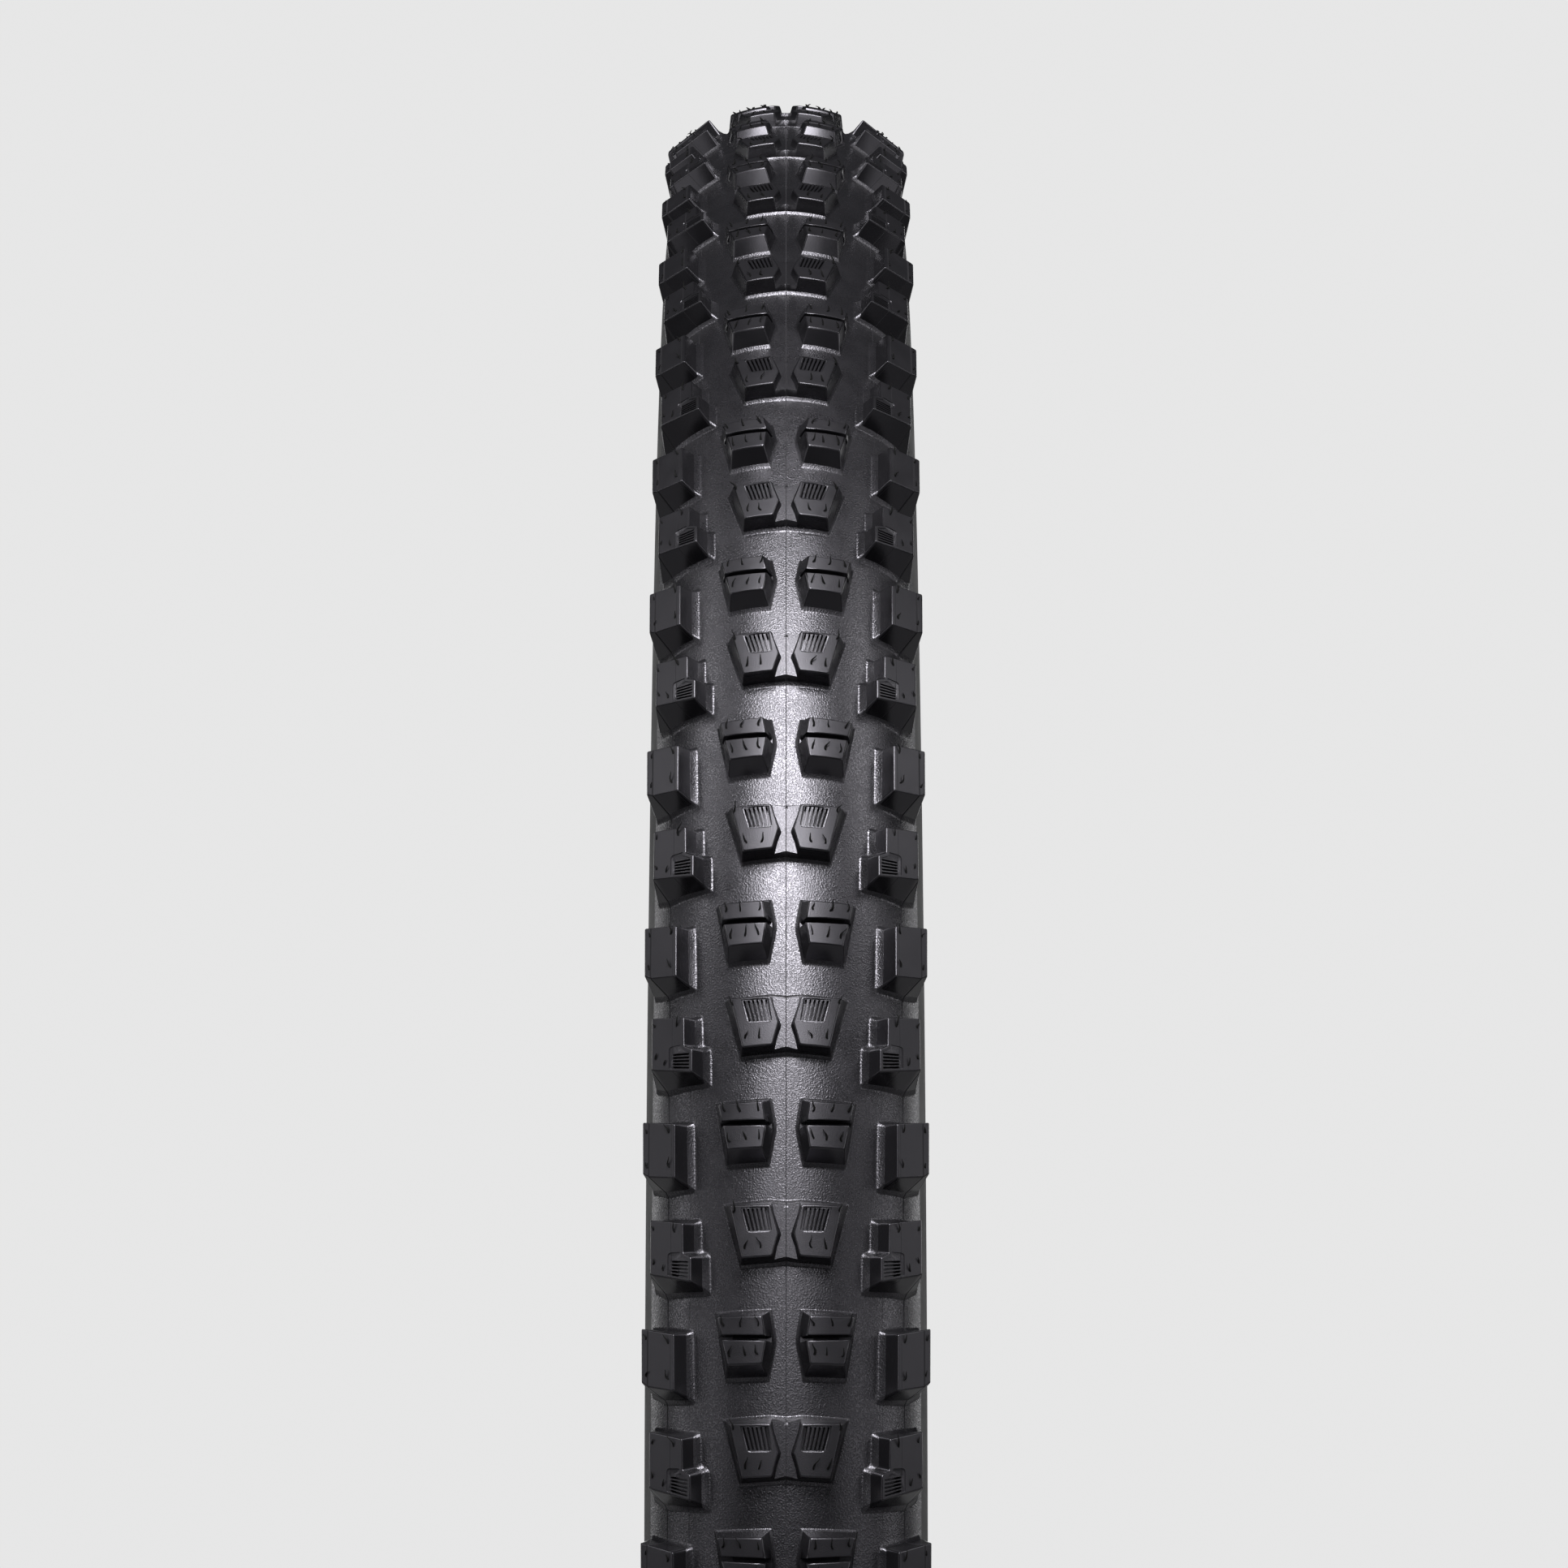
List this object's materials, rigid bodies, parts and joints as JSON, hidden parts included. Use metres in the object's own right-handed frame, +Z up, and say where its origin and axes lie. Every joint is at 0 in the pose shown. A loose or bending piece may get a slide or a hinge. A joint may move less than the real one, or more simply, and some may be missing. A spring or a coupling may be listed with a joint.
{
  "type": "bicycle tire",
  "caption": "Knobby trail bicycle tire: a ring casing with beads at its inner edge and a blocked tread, to grip loose ground on a rim.",
  "frame": {"origin": "centre of the wheel that the tire runs on, midway between its two beads", "axes": "+Y along the wheel axle towards the tire's right side, +Z up, +X forwards"},
  "size_m": [0.7376, 0.0586, 0.7376],
  "materials": {
    "tread_rubber": "moulded black rubber, smooth block walls, finely grained base",
    "sidewall_rubber": "thin black rubber, satin, with a faint cord texture",
    "breaker_fabric": "dense woven nylon, rubberised",
    "casing_fabric": "diagonal nylon cord in rubber",
    "chafer_fabric": "plain woven nylon, rubberised, matte",
    "bead_cord": "twisted aramid strand, uncoated",
    "filler_rubber": "plain hard rubber, matte"
  },
  "bodies": {
    "root": {"tread_center": "tread_rubber", "tread_shoulder_left": "tread_rubber", "tread_shoulder_right": "tread_rubber", "sidewall_left": "sidewall_rubber", "sidewall_right": "sidewall_rubber", "breaker_belt": "breaker_fabric", "casing_ply": "casing_fabric", "chafer_left": "chafer_fabric", "chafer_right": "chafer_fabric", "bead_core_left": "bead_cord", "bead_core_right": "bead_cord", "bead_filler_left": "filler_rubber", "bead_filler_right": "filler_rubber"}
  },
  "joints": []
}
